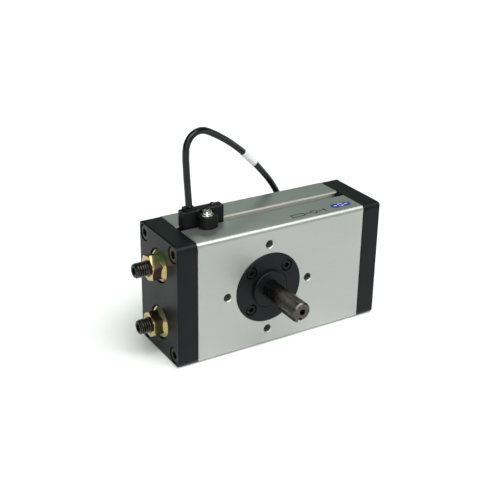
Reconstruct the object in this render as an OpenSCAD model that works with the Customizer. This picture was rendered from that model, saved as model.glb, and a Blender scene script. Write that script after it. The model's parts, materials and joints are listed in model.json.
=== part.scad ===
// Rotary pneumatic actuator, double rack and pinion, 25 mm bore, 180 degrees.
// X runs along the body, Y from the mounting face into the body, Z up.
// The origin is the shaft axis on the mounting face, the shaft points along -Y,
// and the shaft is drawn with its keyway at the lower left, seen from the front.

/* [Body] */
// Height of the body and the end caps
body_h = 69; // [68:0.5:72]
// Depth of the body, from mounting face to back face
body_d = 43; // [42:0.5:44]
// Distance from the shaft axis to the left end of the body
body_left = 42.5; // [42:0.5:43]
// Distance from the shaft axis to the right end of the body
body_right = 60.5; // [60:0.5:64]
// Radius of the long edges
edge_r = 3; // [1:0.5:4]
// Chamfer at the sawn ends
end_chamfer = 0.35; // [0.2:0.05:0.6]
// Piston bore diameter
bore_d = 25; // [24:0.1:25]
// Height of each bore axis above or below the shaft axis
bore_z = 16.5; // [16.5:0.1:17]
// Pitch circle of the four mounting threads
mount_pcd = 50; // [50:0.5:52]
// Spacing of the rear mounting threads along the body
rear_pitch_x = 40; // [36:1:40]
// Spacing of the rear mounting threads from top to bottom
rear_pitch_z = 50; // [48:1:50]
// Depth of the mounting threads
mount_depth = 8; // [6:0.5:8]

/* [Switch slot] */
// Distance of the slot's middle from the mounting face
slot_y = 22; // [21.5:0.1:22.5]
// Width of the slot's mouth
slot_w = 7; // [6.6:0.1:7.4]
// Width below the lips
slot_under_w = 9.6; // [9:0.1:10]
// Thickness of the lips
slot_lip = 1.3; // [1:0.1:1.5]
// Whole depth of the slot
slot_depth = 3.9; // [3.8:0.1:4]

/* [End caps] */
// Thickness of each end cap
cap_t = 11.5; // [11:0.5:14]
// Radius of the caps' long edges
cap_edge_r = 3.5; // [2:0.5:4]
// Distance of the cap screws from the cap's edges
cap_screw_inset = 5.6; // [5.5:0.1:6]
// Length of the spigot in each bore
spigot_l = 3; // [3:0.5:3.5]

/* [Flange and bearings] */
// Diameter of the bearing flange
flange_d = 39.5; // [39:0.5:41]
// Thickness of the flange behind the mounting face
flange_t = 4.5; // [4:0.5:5]
// Height of the flange above the mounting face
flange_proud = 0.5; // [0.2:0.1:0.8]
// Diameter of the raised centring boss
boss_d = 20; // [19:0.5:21]
// Height of the centring boss above the mounting face
boss_h = 2.3; // [2:0.1:3]
// Pitch circle of the flange screws
flange_pcd = 30.4; // [30:0.1:30.6]
// Number of balls in each bearing
ball_count = 11; // [9:1:12]

/* [Shaft and pinion] */
// Diameter of the output shaft
shaft_d = 10; // [9.9:0.02:10]
// Length of the shaft in front of the mounting face
shaft_l = 32; // [28:1:36]
// Width of the keyway
key_w = 3; // [2.5:0.5:4]
// Depth of the keyway
key_depth = 1.8; // [1.6:0.1:2]
// Length of the keyway
keyway_l = 17; // [14:1:20]
// Turn of the keyway from straight down, clockwise seen from the front
key_angle = 25; // [0:5:90]
// Number of pinion teeth
teeth = 20; // [20:2:20]
// Tooth module
gear_module = 1; // [1:0.1:1]

/* [Stops] */
// Length of each adjusting screw
stop_screw_l = 26.5; // [24:0.5:26.5]
// Distance from the shaft axis to the outer end of the upper adjusting screw
upper_screw_end = 68; // [68:0.1:70]
// Distance from the shaft axis to the outer end of the lower adjusting screw
lower_screw_end = 66.6; // [66.6:0.1:68]
// Distance across the flats of the lock nuts
nut_af = 13; // [13:0.5:14]
// Flange diameter of the lock nuts
nut_flange_d = 17.9; // [17:0.1:18]
// Height of the lock nuts
nut_h = 8; // [7:0.5:8]

/* [Switch] */
// Left end of the switch
switch_x = -40; // [-41:0.5:-39]
// Length of the switch
switch_l = 23.5; // [22.5:0.5:24]
// Front of the switch, from the mounting face
switch_y = 19.6; // [19.4:0.1:19.8]
// Width of the switch
switch_w = 5.9; // [5:0.1:6]
// Height of the switch above the body
switch_h = 9; // [8:0.5:10]

/* [Cable] */
// Diameter of the cable
cable_d = 3.6; // [3.4:0.1:3.7]
// Radius of the coil at the middle of its turns
coil_r = 18.5; // [18:0.5:19]

/* [Hidden] */
$fn = 64;
eps = 0.01;
slip = 0.05;        // radial clearance of a running or sliding fit
press = 0.02;       // clearance round a seated piece

bore_r = bore_d / 2;
bore_y = body_d / 2;
top_z = body_h / 2;

cap_recess_d = 19;
cap_recess_t = 2.6;
cap_pocket_r = 6.5;
cap_pocket_t = 5.5;
port_r = 4.3;
port_depth = 9;
port_passage_r = 1.6;

m5_r = 2.5;
m5_head_r = 4.25;
m5_head_h = 5;
m5_cbore_r = 4.6;
m5_cbore_t = 5.4;
m5_hex = 4;
m5_l = 22;
m5_hole = 17.5;           // depth of the cap screws' threads in the body

m3_r = 1.5;
m3_head_r = 2.75;
m3_head_h = 3;
m3_cbore_r = 3.3;
m3_cbore_t = 3.1;
m3_hex = 2.5;
m3_l = 5;
thread_core_r = 2.1;      // M5 thread before the screw is in it
thread_mouth = 0.45;      // chamfer at the mouth of an M5 thread

key_h = 3;                // whole height of the key
key_setback = 1;          // from the shaft's end to the key
end_thread_r = 1.65;
end_thread_depth = 10;

spigot_r = 12.2;          // flange spigot that carries the front bearing
spigot_end = 7.9;
flange_gap = 0.15;        // between the flange's rim and the body
bearing_r = 11;
bearing_w = 6;
ball_pitch_r = 8;
ball_r = 1.6;
race_gap = 1.1;           // radial half gap between the two races
front_bearing_y = 1.7;
rear_bearing_y = bore_y + 11.1;
seal_r = 8;
seal_y = -1.3;
seal_w = 3;
gear_w = 16;
gear_y = bore_y - gear_w / 2;
gear_cavity_r = 12;

pitch_r = gear_module * teeth / 2;
tooth_pitch = PI * gear_module;
pressure_angle = 20;
backlash = 0.1;
rack_r = 12.2;
rack_tip_z = pitch_r - gear_module;
rack_root_z = pitch_r + 1.25 * gear_module;
rack_left = -22.2;
rack_right = 28.2;
piston_end = 39.6;
piston_r = 12.35;
piston_screw_l = 12;
piston_cbore_t = 5.3;
shoe_x = -13;             // left end of the guide shoe in the rack's back
shoe_l = 36;
shoe_w = 8;
shoe_floor = 11;          // from the bore's axis to the shoe's seat
magnet_x = -18;
magnet_r = 3;
magnet_floor = 9;

pad_t = 2.8;
pad_r = 6;
m8_r = 4;
stem_r = 1.5;
stem_l = 3;

boss_x = -28;             // axis of the switch's clamp screw
boss_y = 16.8;
boss_r = 4.6;
boss_top = 6.6;
insert_r = 2.4;
capsule_x = -33.5;
capsule_r = 1.3;
capsule_l = 12;

lens_x = -21.3;
lens_r = 1.5;
lens_setback = 2.2;       // from the rear of the switch to the lens

cable_x = -35.4;
cable_y = 22.4;
collar_w = 5.8;
collar_h = 1.3;
coil_x = 34;
coil_y = 71;
coil_gap = 0.5;           // thickness of the tie under the coil
coil_half_w = 7.9;
coil_h = 7.3;
tail_l = 16;
core_l = 20;
core_r = 0.6;

// Route of the cable's free stretch, from the collar to the coil.
cable_route = [
  [-35.4, 22.4, 44.8], [-35.8, 22.8, 53.9], [-36.4, 22.8, 63.5], [-36.7, 22.8, 72.1], [-35.9, 23.3, 77.8],
  [-33, 24.3, 81.6], [-28.6, 25.8, 83.2], [-23.8, 27.3, 82.7], [-17.5, 29.8, 79.6], [-8.8, 32.8, 74.2],
  [-1.4, 35.8, 68.9], [6.2, 38.6, 62.8], [11, 40.3, 58.4], [15.6, 42, 54.1], [23, 44.9, 46.5],
  [29.8, 47.6, 39], [36, 50.2, 30.6], [41.2, 52.4, 20.6], [45.2, 54, 9], [48.2, 55, -3],
  [50.6, 56.2, -13], [53.2, 58.4, -21], [56.2, 62, -26.2], [58.1, 66.4, -28.1], [58.5, 71, -28.6]
];
marker_from = 11;         // route points between which the marker sleeve sits
marker_to = 13;
rings_per_span = 2;

// ---------- helpers ----------

// Children modelled along +Z are laid along +X, starting at x.
module along_x(x = 0, y = 0, z = 0) { translate([x, y, z]) rotate([0, 90, 0]) children(); }

// Children modelled along +Z are laid along +Y, starting at y.
module along_y(y = 0, x = 0, z = 0) { translate([x, y, z]) rotate([-90, 0, 0]) children(); }

// A (y, z) outline pushed along +X.
module push_x(x, length) { translate([x, 0, 0]) rotate([90, 0, 90]) linear_extrude(length) children(); }

// An (x, z) outline pushed along +Y.
module push_y(y, length) { translate([0, y + length, 0]) rotate([90, 0, 0]) linear_extrude(length) children(); }

// A turned outline of (radius, height) points.
module turned(points) { rotate_extrude() polygon(points); }

// A ring of rectangular section.
module ring(outer_r, inner_r, h) {
  difference() {
    cylinder(r = outer_r, h = h);
    translate([0, 0, -1]) cylinder(r = inner_r, h = h + 2);
  }
}

// Rectangle with round corners, from its low corner.
module round_rect(w, h, r) {
  translate([r, 0]) square([w - 2 * r, h]);
  translate([0, r]) square([w, h - 2 * r]);
  for (x = [r, w - r], y = [r, h - r]) translate([x, y]) circle(r = r);
}

// Bar with round long edges whose two ends are chamfered by c0 and c1.
module body_bar(x, length, r, c0, c1) {
  intersection() {
    push_x(x, length) translate([0, -top_z]) round_rect(body_d, body_h, r);
    push_y(-1, body_d + 2) polygon([
      [x, -top_z + c0], [x + c0, -top_z], [x + length - c1, -top_z], [x + length, -top_z + c1],
      [x + length, top_z - c1], [x + length - c1, top_z], [x + c0, top_z], [x, top_z - c0]
    ]);
    translate([0, 0, -top_z - 1]) linear_extrude(body_h + 2) polygon([
      [x, c0], [x + c0, 0], [x + length - c1, 0], [x + length, c1],
      [x + length, body_d - c1], [x + length - c1, body_d], [x + c0, body_d], [x, body_d - c0]
    ]);
  }
}

// Corner positions of the cap screws.
module at_cap_screws() {
  for (y = [cap_screw_inset, body_d - cap_screw_inset])
    for (z = [cap_screw_inset - top_z, top_z - cap_screw_inset])
      translate([0, y, z]) children();
}

// Positions of the flange screws.
module at_flange_screws() {
  for (a = [45:90:315]) rotate([0, -a, 0]) translate([flange_pcd / 2, 0, 0]) children();
}

// Children stand on the upper bore, or are turned over onto the lower one.
module on_bore(side) {
  translate([0, bore_y, 0]) {
    if (side > 0) children();
    else mirror([0, 0, 1]) children();
  }
}

// ---------- body ----------

module body_housing() {
  color([0.68, 0.7, 0.66]) difference() {
    body_bar(-body_left, body_left + body_right, edge_r, end_chamfer, end_chamfer);
    for (z = [-bore_z, bore_z])
      along_x(-body_left - 1, bore_y, z) cylinder(r = bore_r, h = body_left + body_right + 2);
    // pinion room, bearing seats and flange recess
    along_y(-1) cylinder(r = flange_d / 2 + flange_gap, h = flange_t + 1 + press);
    along_y(0) cylinder(r = spigot_r + press, h = spigot_end + press);
    along_y(spigot_end - 0.1) cylinder(r = gear_cavity_r, h = rear_bearing_y - spigot_end);
    along_y(rear_bearing_y - 0.2) cylinder(r = bearing_r + press, h = bearing_w + 0.2);
    along_y(rear_bearing_y) cylinder(r = 7, h = bearing_w + 1);
    switch_slot();
    for (a = [0:90:270]) rotate([0, a, 0]) translate([mount_pcd / 2, 0, 0]) along_y(0) mounting_thread();
    for (x = [-rear_pitch_x / 2, rear_pitch_x / 2], z = [-rear_pitch_z / 2, rear_pitch_z / 2])
      along_y(body_d, x, z) mirror([0, 0, 1]) mounting_thread();
    at_flange_screws() along_y(flange_t - 1) cylinder(r = m3_r + slip, h = 4.7);
    at_cap_screws() {
      along_x(-body_left - 1) cylinder(r = m5_r + slip, h = m5_hole + 1);
      along_x(body_right - m5_hole) cylinder(r = m5_r + slip, h = m5_hole + 1);
    }
  }
}

// Tapped hole with a chamfered mouth; it starts at the face and points along +Z.
module mounting_thread() {
  translate([0, 0, -1]) cylinder(r = thread_core_r, h = mount_depth + 1);
  translate([0, 0, -eps])
    turned([[0, 0], [thread_core_r + thread_mouth, 0], [thread_core_r, thread_mouth], [0, thread_mouth]]);
}

// T-slot for the switch, along the whole top.
module switch_slot() {
  length = body_left + body_right + 2;
  translate([-body_left - 1, slot_y - slot_w / 2, top_z - slot_depth]) cube([length, slot_w, slot_depth + 1]);
  translate([-body_left - 1, slot_y - slot_under_w / 2, top_z - slot_depth])
    cube([length, slot_under_w, slot_depth - slot_lip]);
}

module end_cap_blank(x, c0, c1) {
  body_bar(x, cap_t, cap_edge_r, c0, c1);
}

// Grooved spigot that fills the end of a bore; it points along +Z.
module cap_spigot() {
  difference() {
    translate([0, 0, -eps]) cylinder(r = bore_r - 0.1, h = spigot_l + eps);
    translate([0, 0, 0.7]) ring(bore_r + 1, 11.2, 1.5);
  }
}

module left_end_cap() {
  x = -body_left - cap_t;
  color([0.12, 0.12, 0.13]) difference() {
    union() {
      end_cap_blank(x, 0.6, 0.15);
      for (z = [-bore_z, bore_z]) along_x(-body_left, bore_y, z) cap_spigot();
    }
    for (z = [-bore_z, bore_z]) {
      along_x(x - 1, bore_y, z) cylinder(r = cap_recess_d / 2, h = cap_recess_t + 1);
      along_x(x, bore_y, z) cylinder(r = m8_r + slip, h = cap_t + spigot_l + 1);
      along_x(-body_left + spigot_l - cap_pocket_t, bore_y, z) cylinder(r = cap_pocket_r, h = cap_pocket_t + 1);
    }
    at_cap_screws() along_x(x) cap_screw_hole();
  }
}

module right_end_cap() {
  x = body_right;
  color([0.12, 0.12, 0.13]) difference() {
    union() {
      end_cap_blank(x, 0.15, 0.6);
      for (z = [-bore_z, bore_z]) mirror([1, 0, 0]) along_x(-x, bore_y, z) cap_spigot();
    }
    for (z = [-bore_z, bore_z]) {
      along_x(x + cap_t - port_depth, bore_y, z) cylinder(r = port_r, h = port_depth + 1);
      along_x(x - spigot_l - 1, bore_y, z) cylinder(r = port_passage_r, h = spigot_l + cap_t - 1);
    }
    at_cap_screws() translate([x + cap_t, 0, 0]) mirror([1, 0, 0]) along_x(0) cap_screw_hole();
  }
}

// Counterbored hole for a cap screw; it starts at the cap's outer face.
module cap_screw_hole() {
  translate([0, 0, -1]) cylinder(r = m5_cbore_r, h = m5_cbore_t + 1);
  cylinder(r = 2.75, h = cap_t + 1);
}

// Socket-head cap screw, from the top of its head along +Z.
module socket_screw(head_r, head_h, shank_r, shank_l, hex) {
  difference() {
    turned([
      [0, 0], [head_r - 0.3, 0], [head_r, 0.3], [head_r, head_h], [shank_r, head_h],
      [shank_r, head_h + shank_l - 0.5], [shank_r - 0.5, head_h + shank_l], [0, head_h + shank_l]
    ]);
    translate([0, 0, -1]) cylinder(r = hex / sqrt(3), h = head_h / 2 + 1, $fn = 6);
  }
}

module left_cap_screws() {
  color([0.16, 0.16, 0.17]) at_cap_screws()
    along_x(-body_left - cap_t + m5_cbore_t - m5_head_h) socket_screw(m5_head_r, m5_head_h, m5_r, m5_l, m5_hex);
}

module right_cap_screws() {
  color([0.16, 0.16, 0.17]) at_cap_screws()
    translate([body_right + cap_t - m5_cbore_t + m5_head_h, 0, 0]) mirror([1, 0, 0])
      along_x(0) socket_screw(m5_head_r, m5_head_h, m5_r, m5_l, m5_hex);
}

module o_ring(mid_r, section_r) {
  rotate_extrude() translate([mid_r, 0]) circle(r = section_r, $fn = 32);
}

module left_cap_o_rings() {
  color([0.1, 0.1, 0.1]) for (z = [-bore_z, bore_z])
    along_x(-body_left + 1.45, bore_y, z) o_ring(11.85, 0.62);
}

module right_cap_o_rings() {
  color([0.1, 0.1, 0.1]) for (z = [-bore_z, bore_z])
    along_x(body_right - 1.45, bore_y, z) o_ring(11.85, 0.62);
}

// ---------- flange, seal and bearings ----------

module bearing_flange() {
  relief = 0.3;           // depth of the groove round the boss
  relief_r = boss_d / 2 + 1.1;
  color([0.1, 0.1, 0.11]) difference() {
    along_y(0) turned([
      [0, -boss_h], [boss_d / 2 - 0.4, -boss_h], [boss_d / 2, 0.4 - boss_h],
      [boss_d / 2, relief - flange_proud], [relief_r, relief - flange_proud], [relief_r, -flange_proud],
      [flange_d / 2 - 0.5, -flange_proud], [flange_d / 2, 0.5 - flange_proud], [flange_d / 2, flange_t],
      [spigot_r, flange_t], [spigot_r, spigot_end], [0, spigot_end]
    ]);
    along_y(-boss_h - 1) cylinder(r = shaft_d / 2 + slip, h = 12);
    along_y(seal_y) cylinder(r = seal_r + press, h = seal_w);
    along_y(front_bearing_y) cylinder(r = bearing_r + press, h = bearing_w + 1);
    at_flange_screws() {
      along_y(-flange_proud - 1) cylinder(r = m3_cbore_r, h = m3_cbore_t + 1);
      along_y(-flange_proud) cylinder(r = 1.7, h = flange_t + 1);
    }
  }
}

module flange_screws() {
  color([0.14, 0.14, 0.15]) at_flange_screws()
    along_y(m3_cbore_t - m3_head_h - flange_proud) socket_screw(m3_head_r, m3_head_h, m3_r, m3_l, m3_hex);
}

// Lip seal that wipes the shaft in front of the bearing.
module shaft_seal() {
  color([0.09, 0.09, 0.1]) along_y(seal_y) turned([
    [shaft_d / 2 + 0.02, 0.9], [shaft_d / 2 + 0.9, 0], [seal_r, 0], [seal_r, seal_w - 0.1],
    [seal_r - 1, seal_w - 0.1], [seal_r - 1, 1.2], [shaft_d / 2 + 1.4, 1.2], [shaft_d / 2 + 0.5, 1.7],
    [shaft_d / 2 + 0.02, 1.4]
  ]);
}

module ball_groove() {
  rotate_extrude() translate([ball_pitch_r, bearing_w / 2]) circle(r = ball_r + slip, $fn = 48);
}

module outer_race() {
  difference() {
    ring(bearing_r, ball_pitch_r + race_gap, bearing_w);
    ball_groove();
  }
}

module inner_race() {
  difference() {
    ring(ball_pitch_r - race_gap, shaft_d / 2 + press, bearing_w);
    ball_groove();
  }
}

module ball_set() {
  for (i = [0:ball_count - 1]) rotate(i * 360 / ball_count)
    translate([ball_pitch_r, 0, bearing_w / 2]) sphere(r = ball_r);
}

module ball_cage() {
  difference() {
    translate([0, 0, 0.9]) ring(ball_pitch_r + 0.6, ball_pitch_r - 0.6, bearing_w - 1.8);
    for (i = [0:ball_count - 1]) rotate(i * 360 / ball_count)
      along_x(ball_pitch_r - 2, 0, bearing_w / 2) cylinder(r = ball_r + slip, h = 4);
  }
}

module front_bearing_outer_race() { color([0.7, 0.71, 0.73]) along_y(front_bearing_y) outer_race(); }
module front_bearing_inner_race() { color([0.7, 0.71, 0.73]) along_y(front_bearing_y) inner_race(); }
module front_bearing_balls() { color([0.8, 0.8, 0.82]) along_y(front_bearing_y) ball_set(); }
module front_bearing_cage() { color([0.75, 0.62, 0.35]) along_y(front_bearing_y) ball_cage(); }
module rear_bearing_outer_race() { color([0.7, 0.71, 0.73]) along_y(rear_bearing_y) outer_race(); }
module rear_bearing_inner_race() { color([0.7, 0.71, 0.73]) along_y(rear_bearing_y) inner_race(); }
module rear_bearing_balls() { color([0.8, 0.8, 0.82]) along_y(rear_bearing_y) ball_set(); }
module rear_bearing_cage() { color([0.75, 0.62, 0.35]) along_y(rear_bearing_y) ball_cage(); }

// ---------- shaft and pinion ----------

// Involute flank: half the angle that a tooth fills at radius r.
function involute(angle) = tan(angle) * 180 / PI - angle;
base_r = pitch_r * cos(pressure_angle);
half_at_pitch = 90 / teeth - backlash / pitch_r * 90 / PI;
function half_angle(r) =
  half_at_pitch + involute(pressure_angle) - involute(r > base_r ? acos(base_r / r) : 0);
flank_radii = [
  pitch_r - 1.25 * gear_module, base_r, pitch_r - 0.25 * gear_module, pitch_r,
  pitch_r + 0.35 * gear_module, pitch_r + 0.7 * gear_module, pitch_r + gear_module
];
flank_steps = len(flank_radii);
function on_circle(r, a) = [r * cos(a), r * sin(a)];

module pinion_outline() {
  polygon([
    for (i = [0:teeth - 1], k = [0:2 * flank_steps - 1])
      let (
        rising = k < flank_steps,
        r = flank_radii[rising ? k : 2 * flank_steps - 1 - k],
        centre = 90 + i * 360 / teeth
      ) on_circle(r, centre + (rising ? -1 : 1) * half_angle(r))
  ]);
}

module pinion_shaft() {
  shoulder_r = 6.5;
  front = front_bearing_y + bearing_w;
  shaft_r = shaft_d / 2;
  color([0.55, 0.53, 0.5]) difference() {
    union() {
      along_y(0) turned([
        [0, -shaft_l], [shaft_r - 0.8, -shaft_l], [shaft_r, 0.8 - shaft_l], [shaft_r, -boss_h - 0.3],
        [shaft_r - 0.25, -boss_h - 0.3], [shaft_r - 0.25, 0.3 - boss_h],
        [shaft_r, 0.3 - boss_h], [shaft_r, front],
        [shoulder_r, front], [shoulder_r, rear_bearing_y], [shaft_r, rear_bearing_y],
        [shaft_r, rear_bearing_y + bearing_w + 0.2], [shaft_r - 0.5, rear_bearing_y + bearing_w + 0.7],
        [0, rear_bearing_y + bearing_w + 0.7]
      ]);
      along_y(gear_y) linear_extrude(gear_w) pinion_outline();
    }
    // keyway, open at the shaft's end
    in_keyway() {
      translate([-key_w / 2, -1, -1]) cube([key_w, keyway_l + 1 - key_w / 2, key_depth + 1]);
      translate([0, keyway_l - key_w / 2, -1]) cylinder(d = key_w, h = key_depth + 1);
    }
    // tapped centre hole
    along_y(-shaft_l - 1) cylinder(r = end_thread_r, h = end_thread_depth + 1);
  }
}

// Children start at the shaft's end, on its surface where the keyway is; +Z points to the shaft's axis.
module in_keyway() { rotate([0, key_angle, 0]) translate([0, -shaft_l, -shaft_d / 2]) children(); }

// Parallel key with round ends, seated on the keyway's floor.
module shaft_key() {
  end_r = key_w / 2 - press;
  length = keyway_l - key_setback - press;
  color([0.5, 0.49, 0.47]) in_keyway() translate([0, key_setback, key_depth - press - key_h]) {
    translate([-end_r, end_r, 0]) cube([2 * end_r, length - 2 * end_r, key_h]);
    for (y = [end_r, length - end_r]) translate([0, y, 0]) cylinder(r = end_r, h = key_h);
  }
}

// ---------- racks and pistons (modelled on the upper bore) ----------

// Tooth side of the rack in (x, z), closed far above it.
module rack_outline() {
  slope = tan(pressure_angle);
  half = (tooth_pitch / 2 - 0.05) / 2;
  tip_half = half - slope * gear_module;
  root_half = half + slope * 1.25 * gear_module;
  polygon([
    [rack_left, 40], [rack_left, rack_root_z],
    for (i = [-7:6])
      let (x = (i + 0.5) * tooth_pitch)
        for (p = [
          [-root_half, rack_root_z], [-tip_half, rack_tip_z],
          [tip_half, rack_tip_z], [root_half, rack_root_z]
        ]) [x + p[0], p[1]],
    [rack_right, rack_root_z], [rack_right, 40]
  ]);
}

module rack(with_magnet) {
  difference() {
    intersection() {
      along_x(rack_left, 0, bore_z) turned([
        [0, 0], [rack_r - 0.8, 0], [rack_r, 0.8], [rack_r, rack_right - rack_left], [0, rack_right - rack_left]
      ]);
      push_y(-20, 40) rack_outline();
    }
    translate([shoe_x - slip, -shoe_w / 2 - slip, bore_z + shoe_floor])
      cube([shoe_l + 2 * slip, shoe_w + 2 * slip, 3]);
    along_x(20, 0, bore_z) cylinder(r = m5_r + slip, h = 12);
    if (with_magnet) translate([magnet_x, 0, bore_z + magnet_floor]) cylinder(r = magnet_r + slip, h = 5);
  }
  along_x(rack_right - eps, 0, bore_z) ring(6, m5_r + slip, 3 + eps);
}

module guide_shoe() {
  intersection() {
    along_x(shoe_x, 0, bore_z) cylinder(r = bore_r - slip, h = shoe_l);
    translate([shoe_x, -shoe_w / 2, bore_z + shoe_floor + press]) cube([shoe_l, shoe_w, 3]);
  }
}

module piston() {
  difference() {
    along_x(rack_right, 0, bore_z) turned([
      [0, 0], [piston_r - 0.3, 0], [piston_r, 0.3], [piston_r, 1.4], [11, 1.4], [11, 4.4], [piston_r, 4.4],
      [piston_r, 6.2], [9.8, 6.2], [9.8, 9.2], [piston_r, 9.2], [piston_r, 11.1], [piston_r - 0.3, 11.4], [0, 11.4]
    ]);
    along_x(rack_right - 1, 0, bore_z) cylinder(r = 6 + press, h = 4 + 0.1);
    along_x(rack_right, 0, bore_z) cylinder(r = 2.75, h = 12);
    along_x(piston_end - piston_cbore_t, 0, bore_z) cylinder(r = 4.5, h = 6);
  }
}

module piston_screw() {
  translate([piston_end - piston_cbore_t + m5_head_h, 0, 0]) mirror([1, 0, 0])
    along_x(0, 0, bore_z) socket_screw(m5_head_r, m5_head_h, m5_r, piston_screw_l, m5_hex);
}

module piston_seal() {
  along_x(rack_right + 6.25, 0, bore_z) turned([
    [9.85, 0], [12.2, 0], [12.2, 1.2], [12.47, 2.9], [11.9, 2.9], [11.2, 1.5], [10.5, 2.9], [9.85, 2.9]
  ]);
}

module wear_ring() {
  difference() {
    along_x(rack_right + 1.45, 0, bore_z) ring(bore_r - 0.04, 11.03, 2.9);
    translate([rack_right + 1, -0.5, bore_z + 10]) cube([4, 1, 4]);
  }
}

module upper_rack() { color([0.6, 0.61, 0.63]) on_bore(1) rack(true); }
module upper_guide_shoe() { color([0.9, 0.89, 0.85]) on_bore(1) guide_shoe(); }
module upper_piston() { color([0.72, 0.73, 0.74]) on_bore(1) piston(); }
module upper_piston_screw() { color([0.16, 0.16, 0.17]) on_bore(1) piston_screw(); }
module upper_piston_seal() { color([0.08, 0.08, 0.08]) on_bore(1) piston_seal(); }
module upper_wear_ring() { color([0.35, 0.5, 0.42]) on_bore(1) wear_ring(); }
module upper_magnet() {
  color([0.45, 0.45, 0.47]) on_bore(1) translate([magnet_x, 0, bore_z + magnet_floor + press])
    cylinder(r = magnet_r, h = 2.9);
}
module lower_rack() { color([0.6, 0.61, 0.63]) on_bore(-1) rack(false); }
module lower_guide_shoe() { color([0.9, 0.89, 0.85]) on_bore(-1) guide_shoe(); }
module lower_piston() { color([0.72, 0.73, 0.74]) on_bore(-1) piston(); }
module lower_piston_screw() { color([0.16, 0.16, 0.17]) on_bore(-1) piston_screw(); }
module lower_piston_seal() { color([0.08, 0.08, 0.08]) on_bore(-1) piston_seal(); }
module lower_wear_ring() { color([0.35, 0.5, 0.42]) on_bore(-1) wear_ring(); }

// ---------- adjusting screws, stop pads and lock nuts ----------

// Each stop stands on its own axis and starts at the screw's outer end.
module on_stop(side, outer_end) { along_x(-outer_end, bore_y, side * bore_z) children(); }

module stop_pad() {
  translate([0, 0, stop_screw_l]) turned([
    [0, -stem_l], [stem_r, -stem_l], [stem_r, 0.02], [pad_r, 0.02],
    [pad_r, pad_t - 0.6], [pad_r - 0.6, pad_t], [0, pad_t]
  ]);
}

module adjusting_screw() {
  difference() {
    turned([
      [0, 0], [m8_r - 0.8, 0], [m8_r, 0.8],
      [m8_r, stop_screw_l - 0.6], [m8_r - 0.6, stop_screw_l], [0, stop_screw_l]
    ]);
    translate([0, 0, -1]) cylinder(r = 4 / sqrt(3), h = 5, $fn = 6);
    translate([0, 0, stop_screw_l - stem_l - 0.1]) cylinder(r = stem_r + slip, h = stem_l + 1);
  }
}

module on_nut(side) { along_x(-body_left - cap_t + cap_recess_t - 1, bore_y, side * bore_z) children(); }

module seal_ring() { ring(8.3, m8_r + slip, 1); }

// Flange nut whose flange rests on the seal ring; it points along -Z.
module lock_nut() {
  corner_r = nut_af / sqrt(3);
  difference() {
    translate([0, 0, -nut_h]) union() {
      intersection() {
        cylinder(r = corner_r, h = nut_h - 1, $fn = 6);
        turned([[0, 0], [nut_af / 2 - 0.2, 0], [corner_r + 0.1, 0.75], [corner_r + 0.1, nut_h], [0, nut_h]]);
      }
      turned([
        [0, nut_h - 3], [6.6, nut_h - 3], [nut_flange_d / 2 - 0.3, nut_h - 1.3], [nut_flange_d / 2, nut_h - 1],
        [nut_flange_d / 2, nut_h - 0.2], [nut_flange_d / 2 - 0.2, nut_h], [0, nut_h]
      ]);
    }
    translate([0, 0, -nut_h - 1]) cylinder(r = m8_r + slip, h = nut_h + 2);
    translate([0, 0, -nut_h - eps]) turned([[0, 0], [m8_r + 0.6, 0], [m8_r, 0.6], [0, 0.6]]);
  }
}

module upper_stop_pad() { color([0.85, 0.8, 0.65]) on_stop(1, upper_screw_end) stop_pad(); }
module upper_adjusting_screw() { color([0.13, 0.13, 0.14]) on_stop(1, upper_screw_end) adjusting_screw(); }
module upper_seal_ring() { color([0.1, 0.1, 0.1]) on_nut(1) seal_ring(); }
module upper_lock_nut() { color([0.75, 0.65, 0.4]) on_nut(1) rotate(12) lock_nut(); }
module lower_stop_pad() { color([0.85, 0.8, 0.65]) on_stop(-1, lower_screw_end) stop_pad(); }
module lower_adjusting_screw() { color([0.13, 0.13, 0.14]) on_stop(-1, lower_screw_end) adjusting_screw(); }
module lower_seal_ring() { color([0.1, 0.1, 0.1]) on_nut(-1) seal_ring(); }
module lower_lock_nut() { color([0.75, 0.65, 0.4]) on_nut(-1) rotate(-4) lock_nut(); }

// ---------- switch ----------

// The switch stands just above the body's top face.
module on_top(x = 0, y = 0, z = 0) { translate([x, y, top_z + slip + z]) children(); }

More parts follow.
